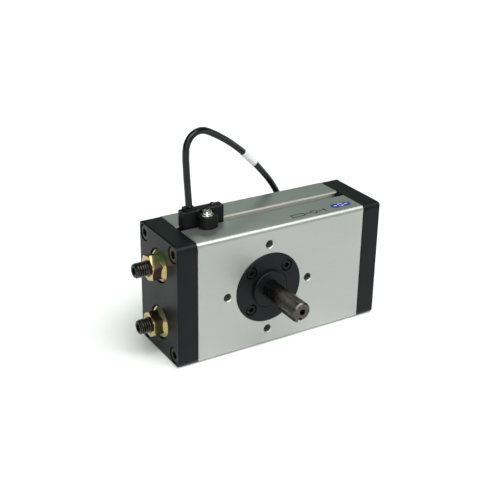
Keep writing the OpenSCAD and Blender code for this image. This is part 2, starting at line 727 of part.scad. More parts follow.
module switch_housing() {
  chamfer = 0.6;
  color([0.07, 0.07, 0.08]) difference() {
    union() {
      // block over the slot, with chamfered ends
      translate([0, switch_y, top_z + slip]) rotate([90, 0, 90]) translate([0, 0, switch_x])
        linear_extrude(switch_l) polygon([
          [0, 0], [switch_w, 0], [switch_w, switch_h - chamfer], [switch_w - chamfer, switch_h],
          [chamfer, switch_h], [0, switch_h - chamfer]
        ]);
      // clamp boss, squarer on its right
      on_top(boss_x, boss_y) cylinder(r = boss_r, h = boss_top);
      on_top() linear_extrude(boss_top) polygon([
        [boss_x - boss_r, boss_y], [boss_x, boss_y - 1], [boss_x + 1.4, boss_y - 4.3],
        [boss_x + 4.4, boss_y - 3.2], [boss_x + 5.8, boss_y - 1.4],
        [boss_x + 5.8, switch_y + 1], [boss_x - boss_r, switch_y + 1]
      ]);
      // collar round the cable
      on_top(cable_x - collar_w / 2, cable_y - collar_w / 2 + 0.3, switch_h - eps)
        cube([collar_w, collar_w - 0.6, collar_h + eps]);
      // foot in the T-slot
      translate([switch_x, switch_y, top_z - slot_lip - 1]) cube([switch_l, 5.4, slot_lip + 1 + 2 * slip]);
      translate([switch_x, slot_y - 4.4, top_z - slot_depth + 0.3]) cube([switch_l, 8.8, 2.1]);
    }
    on_top(boss_x, boss_y, -1) cylinder(r = insert_r, h = boss_top + 2);
    // room beside the block for the washer and a screwdriver
    on_top(boss_x, boss_y, boss_top) cylinder(r = 3.9, h = switch_h);
    on_top(lens_x, switch_y + switch_w - lens_setback, switch_h - 1) cylinder(r = lens_r + press, h = 2);
    // room for the reed capsule
    along_x(capsule_x - 0.5, cable_y, top_z + 3) cylinder(r = capsule_r + 0.3, h = capsule_l + 1);
    on_top(cable_x, cable_y, switch_h - 4) cylinder(r = cable_d / 2, h = 6);
  }
}

// Indicator window at the rear of the switch.
module switch_lens() {
  color([0.25, 0.05, 0.05]) on_top(lens_x, switch_y + switch_w - lens_setback, switch_h - 1)
    turned([[0, 0], [lens_r, 0], [lens_r, 1.4], [lens_r - 0.4, 1.8], [0, 1.8]]);
}

module reed_capsule() {
  color([0.7, 0.8, 0.75]) along_x(capsule_x, cable_y, top_z + 3) cylinder(r = capsule_r, h = capsule_l);
}

module clamp_insert() {
  color([0.75, 0.62, 0.3]) on_top(boss_x, boss_y, 0) ring(insert_r, 1.5 + slip, boss_top);
}

module clamp_washer() {
  color([0.7, 0.66, 0.5]) on_top(boss_x, boss_y, boss_top) difference() {
    ring(3.5, 1.6, 0.7);
    // split of the spring washer
    translate([-0.2, -4, -1]) cube([0.4, 3, 3]);
  }
}

module clamp_screw() {
  head_z = boss_top + 0.7;
  color([0.78, 0.77, 0.72]) on_top(boss_x, boss_y) difference() {
    turned([
      [0, 0], [1.1, 0], [1.5, 0.4], [1.5, head_z], [2.75, head_z], [2.75, head_z + 0.9],
      [2.3, head_z + 1.8], [1.4, head_z + 2.15], [0, head_z + 2.2]
    ]);
    for (a = [0, 90]) rotate(a + 20) translate([-1.6, -0.4, head_z + 1]) cube([3.2, 0.8, 2]);
  }
}

// ---------- cable ----------

// Catmull-Rom point between b and c, with neighbours a and d.
function spline(a, b, c, d, t) =
  (2 * b + (c - a) * t + (2 * a - 5 * b + 4 * c - d) * t * t + (3 * b - a - 3 * c + d) * t * t * t) / 2;
function route_point(points, i) =
  i < 0 ? 2 * points[0] - points[1]
  : i >= len(points) ? 2 * points[len(points) - 1] - points[len(points) - 2]
  : points[i];
function smooth_route(points, first, last) = [
  for (i = [first:last - 1], k = [0:rings_per_span - 1])
    spline(route_point(points, i - 1), points[i], points[i + 1], route_point(points, i + 2), k / rings_per_span),
  points[last]
];
function unit(v) = v / norm(v);
function tangent(path, i) = unit(path[min(i + 1, len(path) - 1)] - path[max(i - 1, 0)]);
function across(v, t) = unit(v - (v * t) * t);
// Side direction of each ring, carried along so that the tube doesn't twist.
function sides(path, i, v) = i >= len(path) ? [] : concat([across(v, tangent(path, i))],
  sides(path, i + 1, across(v, tangent(path, i))));

module swept_tube(path, r, n) {
  side = sides(path, 0, [0, 1, 0]);
  rings = len(path);
  points = [
    for (i = [0:rings - 1], j = [0:n - 1])
      let (t = tangent(path, i), u = side[i], v = cross(t, u), a = j * 360 / n)
        path[i] + r * (cos(a) * u + sin(a) * v)
  ];
  walls = [
    for (i = [0:rings - 2], j = [0:n - 1], half = [0, 1])
      let (a = i * n + j, b = i * n + (j + 1) % n, c = a + n, d = b + n)
        half == 0 ? [a, c, b] : [b, c, d]
  ];
  start_face = [for (j = [0:n - 1]) j];
  end_face = [for (j = [n - 1:-1:0]) (rings - 1) * n + j];
  polyhedron(points = points, faces = concat([start_face, end_face], walls));
}

module sensor_cable() {
  color([0.06, 0.06, 0.07]) swept_tube(smooth_route(cable_route, 0, len(cable_route) - 1), cable_d / 2, 8);
}

module cable_marker() {
  color([0.93, 0.93, 0.92]) swept_tube(smooth_route(cable_route, marker_from, marker_to), cable_d / 2 + 0.35, 8);
}

module cable_coil() {
  color([0.06, 0.06, 0.07]) translate([coil_x, coil_y, coil_gap - top_z]) rotate_extrude()
    translate([coil_r - coil_half_w, 0]) round_rect(2 * coil_half_w, coil_h, 1.4);
}

// Band round the turns, on the side away from the body.
module cable_tie() {
  color([0.12, 0.12, 0.12]) translate([coil_x, coil_y, -top_z]) rotate(120)
    translate([coil_r, 1.3, 0]) rotate([90, 0, 0]) linear_extrude(2.6) difference() {
      translate([-coil_half_w - 0.5, 0]) round_rect(2 * coil_half_w + 1, coil_h + 1, 1.6);
      translate([-coil_half_w - eps, 0.5 - eps]) round_rect(2 * coil_half_w + 2 * eps, coil_h + 2 * eps, 1.4);
    }
}

// The last stretch runs along the body's back from the lowest outer turn.
tail_y = coil_y - coil_r - coil_half_w + cable_d / 2;
tail_z = coil_gap + cable_d / 2 - top_z;
module cable_tail() {
  color([0.06, 0.06, 0.07]) along_x(coil_x, tail_y, tail_z) cylinder(d = cable_d, h = tail_l);
}

module cable_cores() {
  for (side = [-1, 1]) color(side < 0 ? [0.35, 0.2, 0.12] : [0.15, 0.3, 0.6])
    along_x(coil_x + tail_l, tail_y + side * 0.7, tail_z - 0.2)
      rotate([side * -4, 0, 0]) cylinder(r = core_r, h = core_l);
}

// ---------- what is drawn ----------

body_housing();
left_end_cap();
right_end_cap();
left_cap_screws();
right_cap_screws();
left_cap_o_rings();
right_cap_o_rings();
bearing_flange();
flange_screws();
shaft_seal();
front_bearing_outer_race();
rear_bearing_outer_race();
pinion_shaft();
shaft_key();
front_bearing_inner_race();
rear_bearing_inner_race();
front_bearing_balls();
front_bearing_cage();
rear_bearing_balls();
rear_bearing_cage();
upper_rack();
upper_guide_shoe();
upper_piston();
upper_piston_screw();
upper_piston_seal();
upper_wear_ring();
upper_magnet();
lower_rack();
lower_guide_shoe();
lower_piston();
lower_piston_screw();
lower_piston_seal();
lower_wear_ring();
upper_stop_pad();
upper_adjusting_screw();
upper_seal_ring();
upper_lock_nut();
lower_stop_pad();
lower_adjusting_screw();
lower_seal_ring();
lower_lock_nut();
switch_housing();
switch_lens();
reed_capsule();
clamp_insert();
clamp_washer();
clamp_screw();
sensor_cable();
cable_marker();
cable_coil();
cable_tie();
cable_tail();
cable_cores();
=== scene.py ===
"""Looks of a rack-and-pinion rotary actuator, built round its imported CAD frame.

X runs along the body, Y from the mounting face into the body, Z up. Constants are in
millimetres unless a comment says otherwise, and MM turns them into Blender's metres.
"""

import json
import math

import bpy
from mathutils import Matrix, Vector


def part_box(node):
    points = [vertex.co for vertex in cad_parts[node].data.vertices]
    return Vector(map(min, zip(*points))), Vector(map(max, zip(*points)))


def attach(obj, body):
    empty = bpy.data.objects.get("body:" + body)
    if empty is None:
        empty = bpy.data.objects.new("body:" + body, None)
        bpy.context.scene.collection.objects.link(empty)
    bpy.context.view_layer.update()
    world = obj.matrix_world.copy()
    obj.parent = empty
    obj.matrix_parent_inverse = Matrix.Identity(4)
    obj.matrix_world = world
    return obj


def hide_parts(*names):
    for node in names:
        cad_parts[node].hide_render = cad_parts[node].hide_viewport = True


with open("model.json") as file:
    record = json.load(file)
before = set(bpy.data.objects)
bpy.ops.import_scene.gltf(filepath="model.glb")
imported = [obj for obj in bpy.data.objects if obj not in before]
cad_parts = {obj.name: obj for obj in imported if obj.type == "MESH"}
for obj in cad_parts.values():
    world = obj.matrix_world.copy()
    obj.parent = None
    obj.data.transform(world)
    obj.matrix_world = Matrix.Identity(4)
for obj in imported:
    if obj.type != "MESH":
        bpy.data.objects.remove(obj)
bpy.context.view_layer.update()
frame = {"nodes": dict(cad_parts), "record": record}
nodes = frame["nodes"]
MM = 0.001

# ---------- camera ----------

CAMERA_AZIMUTH = -31.81      # degrees, 0 looks along +Y
CAMERA_ELEVATION = 24.90
CAMERA_ROLL = 1.07
CAMERA_DISTANCE = 0.5383     # metres
CAMERA_TARGET = Vector((0.0006, 0.0204, 0.01336))
CAMERA_LENS = 71.65          # on a 36 mm sensor
CAMERA_CLIP = (0.01, 20)     # metres


def make_camera():
    azimuth, elevation, roll = (
        math.radians(v) for v in (CAMERA_AZIMUTH, CAMERA_ELEVATION, CAMERA_ROLL))
    level = math.cos(elevation)
    back = Vector((math.sin(azimuth) * level, -math.cos(azimuth) * level, math.sin(elevation)))
    right = Vector((0, 0, 1)).cross(back).normalized()
    up = back.cross(right)
    rolled_right = right * math.cos(roll) + up * math.sin(roll)
    rolled_up = up * math.cos(roll) - right * math.sin(roll)
    turn = Matrix((rolled_right, rolled_up, back)).transposed().to_4x4()
    data = bpy.data.cameras.new("camera")
    data.lens = CAMERA_LENS
    data.clip_start, data.clip_end = CAMERA_CLIP
    camera = bpy.data.objects.new("camera", data)
    camera.matrix_world = Matrix.Translation(CAMERA_TARGET + back * CAMERA_DISTANCE) @ turn
    bpy.context.scene.collection.objects.link(camera)
    bpy.context.scene.camera = camera


make_camera()

# ---------- node helpers ----------


class Nodes:
    """A node tree that grows by short calls."""

    def __init__(self, tree):
        self.tree = tree

    def add(self, kind, **settings):
        made = self.tree.nodes.new(kind)
        for key, value in settings.items():
            setattr(made, key, value)
        return made

    def join(self, output, socket):
        self.tree.links.new(output, socket)

    def feed(self, socket, value):
        """Sets a socket to a plain value or joins an output to it."""
        if isinstance(value, bpy.types.NodeSocket):
            self.join(value, socket)
        else:
            socket.default_value = value

    def split(self, coordinates):
        """X, Y and Z of a kind of texture coordinates."""
        made = self.add("ShaderNodeSeparateXYZ")
        source = self.add("ShaderNodeTexCoord")
        self.join(source.outputs[coordinates], made.inputs["Vector"])
        return made.outputs

    def math(self, operation, *values):
        made = self.add("ShaderNodeMath", operation=operation)
        for socket, value in zip(made.inputs, values):
            self.feed(socket, value)
        return made.outputs["Value"]

    def ramp(self, value, stops):
        """Colour ramp; each stop is (position, colour)."""
        made = self.add("ShaderNodeValToRGB")
        points = made.color_ramp.elements
        while len(points) < len(stops):
            points.new(0.5)
        for point, (where, colour) in zip(points, stops):
            point.position = where
            point.color = (*colour, 1)
        self.join(value, made.inputs["Fac"])
        return made.outputs["Color"]


class Shader(Nodes):
    """A material. Coordinates are the object's own, in metres."""

    def __init__(self, name):
        self.material = bpy.data.materials.new(name)
        self.material.use_nodes = True
        super().__init__(self.material.node_tree)
        self.surface = self.tree.nodes["Principled BSDF"]

    def set(self, **inputs):
        for name, value in inputs.items():
            self.feed(self.surface.inputs[name.replace("_", " ")], value)

    def place(self, stretch):
        coords = self.add("ShaderNodeTexCoord")
        mapping = self.add("ShaderNodeMapping")
        mapping.inputs["Scale"].default_value = stretch
        self.join(coords.outputs["Object"], mapping.inputs["Vector"])
        return mapping.outputs["Vector"]

    def noise(self, scale, detail, roughness, stretch=(1, 1, 1)):
        made = self.add("ShaderNodeTexNoise")
        made.inputs["Scale"].default_value = scale
        made.inputs["Detail"].default_value = detail
        made.inputs["Roughness"].default_value = roughness
        self.join(self.place(stretch), made.inputs["Vector"])
        return made.outputs["Fac"]

    def span(self, value, source, target):
        """Moves a value from one (low, high) range to another."""
        made = self.add("ShaderNodeMapRange")
        limits = zip(("From Min", "From Max", "To Min", "To Max"), (*source, *target))
        for name, limit in limits:
            made.inputs[name].default_value = limit
        self.join(value, made.inputs["Value"])
        return made.outputs["Result"]

    def weighted(self, first, share, second, other_share):
        return self.math("ADD", self.math("MULTIPLY", first, share),
                         self.math("MULTIPLY", second, other_share))

    def mix(self, factor, first, second):
        """Second colour, which is plain, over the first where the factor is 1."""
        made = self.add("ShaderNodeMix", data_type="RGBA")
        below, above = [s for s in made.inputs if s.type == "RGBA"]
        self.feed(made.inputs["Factor"], factor)
        self.feed(below, first)
        self.feed(above, (*second, 1))
        return next(s for s in made.outputs if s.type == "RGBA")

    def within(self, spans):
        """1 inside a box of object coordinates, 0 outside; None leaves an axis open."""
        mask = 1.0
        for socket, span in zip(self.split("Object"), spans):
            if span:
                above = self.math("GREATER_THAN", socket, span[0] * MM)
                below = self.math("LESS_THAN", socket, span[1] * MM)
                mask = self.math("MULTIPLY", self.math("MULTIPLY", above, below), mask)
        return mask

    def bump(self, height, strength, depth):
        made = self.add("ShaderNodeBump")
        made.inputs["Strength"].default_value = strength
        made.inputs["Distance"].default_value = depth * MM
        self.join(height, made.inputs["Height"])
        self.join(made.outputs["Normal"], self.surface.inputs["Normal"])


# ---------- materials ----------

MIDDLE = (0.3, 0.7)          # where most of a noise's values lie
SLOT_Y = (18.4, 25.6)        # walls of the switch slot, painted lighter and less metallic than the skin: painted light on the walls
SLOT_Z = (30.0, 34.3)


def body_aluminium():
    """Clear anodised extrusion: a fine blasted grain with faint drawing lines along X."""
    s = Shader("anodised_aluminium")
    cloud = s.noise(scale=28, detail=4, roughness=0.55)
    lines = s.noise(scale=1, detail=3, roughness=0.6, stretch=(14, 2600, 2600))
    grain = s.noise(scale=5200, detail=2, roughness=0.6)
    tone = s.weighted(cloud, 0.5, lines, 0.5)
    # Painted light: inside this box the slot's walls get a lighter, less metallic colour that
    # stands in for light falling on them.
    slot_painted_light = s.within((None, SLOT_Y, SLOT_Z))
    skin = s.ramp(tone, [(0.3, (0.375, 0.383, 0.366)), (0.7, (0.420, 0.428, 0.410))])
    s.set(
        Base_Color=s.mix(slot_painted_light, skin, (0.66, 0.62, 0.58)),
        Metallic=s.span(slot_painted_light, (0, 1), (0.88, 0.25)),
        Roughness=s.span(s.math("ADD", lines, grain), (0.6, 1.4), (0.33, 0.45)),
    )
    s.bump(s.weighted(grain, 0.6, lines, 0.9), strength=0.25, depth=0.02)
    return s.material


def black_anodised():
    s = Shader("black_anodised")
    grain = s.noise(scale=4200, detail=2, roughness=0.6)
    cloud = s.noise(scale=60, detail=4, roughness=0.6)
    shades = [(0.3, (0.0026, 0.003, 0.0042)), (0.75, (0.0055, 0.006, 0.0075))]
    s.set(
        Base_Color=s.ramp(cloud, shades),
        Metallic=0,
        Roughness=s.span(cloud, MIDDLE, (0.36, 0.46)),
        Specular_IOR_Level=0.15,
    )
    s.bump(grain, strength=0.3, depth=0.02)
    return s.material


def black_steel(name, deep, middle, rubbed, rough):
    """Black oxide with thin bright places where the oxide is rubbed."""
    s = Shader(name)
    cloud = s.noise(scale=420, detail=5, roughness=0.65)
    s.set(
        Base_Color=s.ramp(cloud, [(0.35, deep), (0.62, middle), (0.8, rubbed)]),
        Metallic=0.85,
        Roughness=s.span(cloud, MIDDLE, rough),
    )
    s.bump(s.noise(scale=2600, detail=3, roughness=0.6), strength=0.2, depth=0.02)
    return s.material


def turned_metal(name, dark, light, rough, axis, pitch=4200, strength=0.25):
    """Bare metal with fine grooves round one axis."""
    s = Shader(name)
    stretch = tuple(pitch if letter == axis else 3 for letter in "xyz")
    grooves = s.noise(scale=1, detail=2, roughness=0.6, stretch=stretch)
    cloud = s.noise(scale=160, detail=4, roughness=0.6)
    tone = s.weighted(cloud, 0.6, grooves, 0.4)
    s.set(
        Base_Color=s.ramp(tone, [(0.32, dark), (0.68, light)]),
        Metallic=1,
        Roughness=s.span(grooves, MIDDLE, rough),
    )
    s.bump(grooves, strength, depth=0.01)
    return s.material


def yellow_zinc():
    """Yellow chromate over zinc: gold that drifts to rose and green."""
    s = Shader("yellow_zinc")
    drift = s.noise(scale=110, detail=2, roughness=0.45)
    fine = s.noise(scale=900, detail=4, roughness=0.65)
    s.set(
        Base_Color=s.ramp(s.weighted(drift, 0.8, fine, 0.2), [
            (0.30, (0.30, 0.32, 0.14)), (0.40, (0.42, 0.33, 0.13)), (0.48, (0.50, 0.30, 0.24)),
            (0.56, (0.42, 0.34, 0.15)), (0.64, (0.22, 0.30, 0.12)), (0.74, (0.48, 0.34, 0.30)),
        ]),
        Metallic=1,
        Roughness=s.span(fine, MIDDLE, (0.10, 0.16)),
    )
    s.bump(fine, strength=0.08, depth=0.02)
    return s.material


def moulded(name, dark, light, rough, texture=1800, strength=0.25, specular=0.5):
    """Moulded plastic or rubber with a fine spark texture."""
    s = Shader(name)
    grain = s.noise(scale=texture, detail=3, roughness=0.6)
    cloud = s.noise(scale=90, detail=3, roughness=0.5)
    s.set(
        Base_Color=s.ramp(cloud, [(0.3, dark), (0.7, light)]),
        Roughness=s.span(grain, MIDDLE, rough),
        Specular_IOR_Level=specular,
    )
    s.bump(grain, strength, depth=0.02)
    return s.material


def clear_glass():
    s = Shader("reed_glass")
    smear = s.noise(scale=300, detail=3, roughness=0.5)
    s.set(
        Base_Color=s.ramp(smear, [(0.3, (0.62, 0.75, 0.68)), (0.7, (0.72, 0.82, 0.76))]),
        Roughness=s.span(smear, MIDDLE, (0.04, 0.1)),
        Alpha=0.5,
    )
    return s.material


# One for each material slot of the record.
MATERIALS = {
    "body_aluminium": body_aluminium(),
    "black_anodised": black_anodised(),
    "black_steel": black_steel(
        "black_oxide_steel", deep=(0.006, 0.006, 0.007), middle=(0.018, 0.017, 0.017),
        rubbed=(0.06, 0.055, 0.052), rough=(0.28, 0.46)),
    "shaft_steel": turned_metal(
        "shaft_steel", dark=(0.065, 0.057, 0.048), light=(0.11, 0.098, 0.084),
        rough=(0.22, 0.3), axis="y", strength=0.12),
    "bearing_steel": turned_metal(
        "bearing_steel", dark=(0.55, 0.56, 0.58), light=(0.68, 0.69, 0.71),
        rough=(0.12, 0.24), axis="y"),
    "rack_steel": turned_metal(
        "rack_steel", dark=(0.38, 0.39, 0.41), light=(0.52, 0.53, 0.55),
        rough=(0.25, 0.4), axis="x"),
    "piston_aluminium": turned_metal(
        "piston_aluminium", dark=(0.6, 0.61, 0.62), light=(0.72, 0.73, 0.74),
        rough=(0.25, 0.38), axis="x"),
    "cage_brass": turned_metal(
        "cage_brass", dark=(0.55, 0.40, 0.17), light=(0.72, 0.56, 0.28),
        rough=(0.2, 0.36), axis="z"),
    "rubber_black": moulded(
        "rubber_black", dark=(0.012, 0.012, 0.012), light=(0.024, 0.024, 0.024),
        rough=(0.55, 0.75)),
    "wear_plastic": moulded(
        "wear_plastic", dark=(0.16, 0.32, 0.25), light=(0.22, 0.4, 0.32), rough=(0.4, 0.55)),
    "pad_plastic": moulded(
        "pad_plastic", dark=(0.62, 0.52, 0.32), light=(0.72, 0.62, 0.42), rough=(0.4, 0.55)),
    "shoe_plastic": moulded(
        "shoe_plastic", dark=(0.72, 0.71, 0.66), light=(0.82, 0.81, 0.77), rough=(0.4, 0.55)),
    "magnet_grey": moulded(
        "magnet_grey", dark=(0.06, 0.06, 0.065), light=(0.11, 0.11, 0.115), rough=(0.5, 0.7)),
    "yellow_zinc": yellow_zinc(),
    "nickel": turned_metal(
        "nickel", dark=(0.60, 0.57, 0.53), light=(0.72, 0.70, 0.66),
        rough=(0.12, 0.18), axis="z", pitch=3000, strength=0.08),
    "switch_plastic": moulded(
        "switch_plastic", dark=(0.002, 0.002, 0.0026), light=(0.004, 0.004, 0.0046),
        rough=(0.34, 0.46), specular=0.16),
    "lens_plastic": moulded(
        "lens_plastic", dark=(0.012, 0.003, 0.003), light=(0.02, 0.004, 0.004),
        rough=(0.12, 0.22)),
    "reed_glass": clear_glass(),
    "cable_pvc": moulded(
        "cable_pvc", dark=(0.0022, 0.0018, 0.0026), light=(0.004, 0.0034, 0.0046),
        rough=(0.16, 0.24), texture=900, strength=0.05, specular=0.28),
    "marker_white": moulded(
        "marker_white", dark=(0.66, 0.66, 0.66), light=(0.74, 0.74, 0.74), rough=(0.35, 0.5)),
    "core_plastic": moulded(
        "core_brown", dark=(0.10, 0.045, 0.025), light=(0.15, 0.07, 0.04), rough=(0.25, 0.4)),
}
CORE_BLUE = moulded(
    "core_blue", dark=(0.02, 0.06, 0.22), light=(0.035, 0.09, 0.3), rough=(0.25, 0.4))
# Lighter copy of the black oxide steel for the stop screws' thread crests and flanks: a painted
# highlight.
CREST_HIGHLIGHT_STEEL = black_steel(
    "crest_highlight_steel", deep=(0.04, 0.032, 0.030), middle=(0.11, 0.088, 0.082),
    rubbed=(0.26, 0.21, 0.20), rough=(0.2, 0.3))
LABEL_BLUE = moulded(
    "label_blue", dark=(0.010, 0.022, 0.17), light=(0.016, 0.032, 0.22),
    rough=(0.3, 0.4), specular=0.3)
PRINT_BLACK = moulded(
    "print_black", dark=(0.004, 0.004, 0.005), light=(0.008, 0.008, 0.009),
    rough=(0.5, 0.6), specular=0.15)
TINNED = turned_metal(
    "tinned_copper", dark=(0.55, 0.54, 0.52), light=(0.7, 0.69, 0.67),
    rough=(0.2, 0.35), axis="x")


def dress(obj, material):
    obj.data.materials.clear()
    obj.data.materials.append(material)


for entry in frame["record"]["subparts"]:
    dress(nodes[entry["node"]], MATERIALS[entry["material_slot"]])

# ---------- mesh helpers ----------

WELD_DISTANCE = 1e-6         # metres
FLAT_ANGLE = 0.3             # degrees; faces that differ by less become one
BEVEL_ANGLE = 30             # degrees; edges that bend by more are rounded
BEVEL_SEGMENTS = 2
CURVE_RESOLUTION = 6


def new_piece(name, data, material, smooth=True):
    obj = bpy.data.objects.new(name, data)
    bpy.context.scene.collection.objects.link(obj)
    dress(obj, material)
    if smooth and obj.type == "MESH":
        shade_smooth(data)
    return obj


def shade_smooth(data):
    data.polygons.foreach_set("use_smooth", [True] * len(data.polygons))


def mesh_piece(name, verts, faces, material, smooth=True):
    data = bpy.data.meshes.new(name)
    data.from_pydata([tuple(v) for v in verts], [], faces)
    data.validate()
    return new_piece(name, data, material, smooth)


def curve_piece(name, path, radius, material):
    """Round cord along a path, closed at both ends."""
    data = bpy.data.curves.new(name, "CURVE")
    data.dimensions = "3D"
    data.bevel_depth = radius
    data.bevel_resolution = CURVE_RESOLUTION
    data.use_fill_caps = True
    spline = data.splines.new("POLY")
    spline.points.add(len(path) - 1)
    for point, p in zip(spline.points, path):
        point.co = (*p, 1)
    spline.use_smooth = True
    return new_piece(name, data, material)


def soften(obj, width):
    """Small round edges on a solid, with flat faces kept flat."""
    custom = obj.data.attributes.get("custom_normal")
    if custom:
        obj.data.attributes.remove(custom)
    shade_smooth(obj.data)
    weld = obj.modifiers.new("weld", "WELD")
    weld.merge_threshold = WELD_DISTANCE
    flat = obj.modifiers.new("flat", "DECIMATE")
    flat.decimate_type = "DISSOLVE"
    flat.angle_limit = math.radians(FLAT_ANGLE)
    bevel = obj.modifiers.new("bevel", "BEVEL")
    bevel.width = width * MM
    bevel.segments = BEVEL_SEGMENTS
    bevel.limit_method = "ANGLE"
    bevel.angle_limit = math.radians(BEVEL_ANGLE)
    bevel.use_clamp_overlap = True
    normals = obj.modifiers.new("normals", "WEIGHTED_NORMAL")
    normals.keep_sharp = True
    return obj


def ease(t):
    """0 to 1 with a soft start and end, held outside."""
    t = min(max(t, 0.0), 1.0)
    return t * t * (3 - 2 * t)


def ring_angles(count):
    return [2 * math.pi * k / count for k in range(count)]


# ---------- cable ----------

CABLE_D = 0.0036             # metres
# The same route as in the CAD model: from the switch's collar to the coil.
ROUTE = [
    (-35.4, 22.4, 44.8), (-35.8, 22.8, 53.9), (-36.4, 22.8, 63.5), (-36.7, 22.8, 72.1),
    (-35.9, 23.3, 77.8), (-33, 24.3, 81.6), (-28.6, 25.8, 83.2), (-23.8, 27.3, 82.7),
    (-17.5, 29.8, 79.6), (-8.8, 32.8, 74.2), (-1.4, 35.8, 68.9), (6.2, 38.6, 62.8),
    (11, 40.3, 58.4), (15.6, 42, 54.1), (23, 44.9, 46.5), (29.8, 47.6, 39),
    (36, 50.2, 30.6), (41.2, 52.4, 20.6), (45.2, 54, 9), (48.2, 55, -3),
    (50.6, 56.2, -13), (53.2, 58.4, -21), (56.2, 62, -26.2), (58.1, 66.4, -28.1),
    (58.5, 71, -28.6),
]
MARKER_SPAN = (11, 13)       # route points between which the marker sleeve sits
STEPS = 8                    # curve points between two route points
COIL_CENTRE = Vector((34, 71, 0))
COIL_OUTER_R = 24.5
COIL_INNER_R = 12.5
COIL_TOP_Z = -28.6
COIL_LOW_Z = -32.2
COIL_TURNS = 3.25            # turns of each layer
LOW_TURN = 3.5               # turns after which the cable is in the lower layer
STEP_TURNS = 0.5             # turns that the step down takes
TURN_POINTS = 48
TAIL = 16.0
TAIL_STEPS = 8
TIE_EDGE = 0.15

MARKER_WALL = 0.35
MARKER_SIDES = 32
MARKER_STEPS = 30
MARKER_LIP = 0.012           # share of the length that an end's rounding takes
MARKER_MOUTH = 0.98          # radius of the sleeve's mouth, in cable radii
MARKER_SHOULDER = 0.75       # share of the wall that stands at the very end
SWEEP_SIDE = Vector((0, 1, 0.2))    # never along the cable, so a cross product with it works

CORE_R = 0.6
CORE_START = (-0.5, 0.7)     # into the cable, and to each side
CORE_STEPS = 12
CORE_REACH = 0.86            # share of the CAD node's length that the insulation covers
CORE_SPREAD = 0.07           # sideways, per length
TIP_PLACES = (-0.2, 1.0, 2.7)       # along the bare end, from the insulation's end
TIP_THICKNESS = 0.55         # in core radii


def catmull(points, i, t):
    """Point at t between points i and i + 1 of a smooth route."""
    def at(k):
        if k < 0:
            return 2 * points[0] - points[1]
        if k >= len(points):
            return 2 * points[-1] - points[-2]
        return points[k]
    a, b, c, d = at(i - 1), at(i), at(i + 1), at(i + 2)
    linear = c - a
    square = 2 * a - 5 * b + 4 * c - d
    cube = 3 * b - a - 3 * c + d
    return (2 * b + linear * t + square * t ** 2 + cube * t ** 3) / 2


def route_points(first, last):
    points = [Vector(p) for p in ROUTE]
    path = [catmull(points, i, k / STEPS) for i in range(first, last) for k in range(STEPS)]
    return path + [points[last]]


def coil_points():
    """Two flat spirals on each other: inwards on top, a step down, then outwards below."""
    path = []
    pitch = (COIL_OUTER_R - COIL_INNER_R) / COIL_TURNS
    for k in range(1, int((LOW_TURN + COIL_TURNS) * TURN_POINTS) + 1):
        turn = k / TURN_POINTS
        if turn < COIL_TURNS:
            r = COIL_OUTER_R - pitch * turn
        else:
            r = COIL_INNER_R + pitch * max(turn - LOW_TURN, 0.0)
        down = ease((turn - LOW_TURN + STEP_TURNS) / STEP_TURNS)
        z = COIL_TOP_Z + (COIL_LOW_Z - COIL_TOP_Z) * down
        angle = 2 * math.pi * turn
        path.append(COIL_CENTRE + Vector((r * math.cos(angle), r * math.sin(angle), z)))
    return path


def cable_path():
    path = route_points(0, len(ROUTE) - 1) + coil_points()
    end = path[-1]
    path += [end + Vector((TAIL * k / TAIL_STEPS, 0, 0)) for k in range(1, TAIL_STEPS + 1)]
    return [p * MM for p in path]


def running_length(path):
    lengths = [0.0]
    for a, b in zip(path, path[1:]):
        lengths.append(lengths[-1] + (b - a).length)
    return lengths


def tube_faces(rings, sides):
    """Quads between rings of vertices that are listed one after the other."""
    faces = []
    for i in range(rings - 1):
        for k in range(sides):
            a, b = i * sides + k, i * sides + (k + 1) % sides
            faces.append((a, a + sides, b + sides, b))
    return faces


def swept(name, path, profile, material, sides):
    """Tube along a path; profile gives (share of the length, radius) pairs."""
    lengths = running_length(path)

    def along(share):
        want = share * lengths[-1]
        i = max(k for k in range(len(path) - 1) if lengths[k] <= want)
        t = min((want - lengths[i]) / (lengths[i + 1] - lengths[i]), 1.0)
        return path[i].lerp(path[i + 1], t), (path[i + 1] - path[i]).normalized()

    verts = []
    for share, radius in profile:
        centre, tangent = along(share)
        u = tangent.cross(SWEEP_SIDE).normalized()
        v = tangent.cross(u)
        verts += [centre + radius * (math.cos(a) * u + math.sin(a) * v)
                  for a in ring_angles(sides)]
    return mesh_piece(name, verts, tube_faces(len(profile), sides), material)


def make_marker():
    """White sleeve slipped over the cable, slightly open at both ends."""
    path = [p * MM for p in route_points(*MARKER_SPAN)]
    r = CABLE_D / 2
    wall = MARKER_WALL * MM
    end = [(0.0, r * MARKER_MOUTH), (0.0, r + wall * MARKER_SHOULDER)]
    sleeve = [(MARKER_LIP + (1 - 2 * MARKER_LIP) * k / MARKER_STEPS, r + wall)
              for k in range(MARKER_STEPS + 1)]
    other_end = [(1.0, radius) for _, radius in reversed(end)]
    marker = swept("marker_sleeve", path, end + sleeve + other_end,
                   MATERIALS["marker_white"], MARKER_SIDES)
    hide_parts("cable_marker")
    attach(marker, "switch")
    return marker


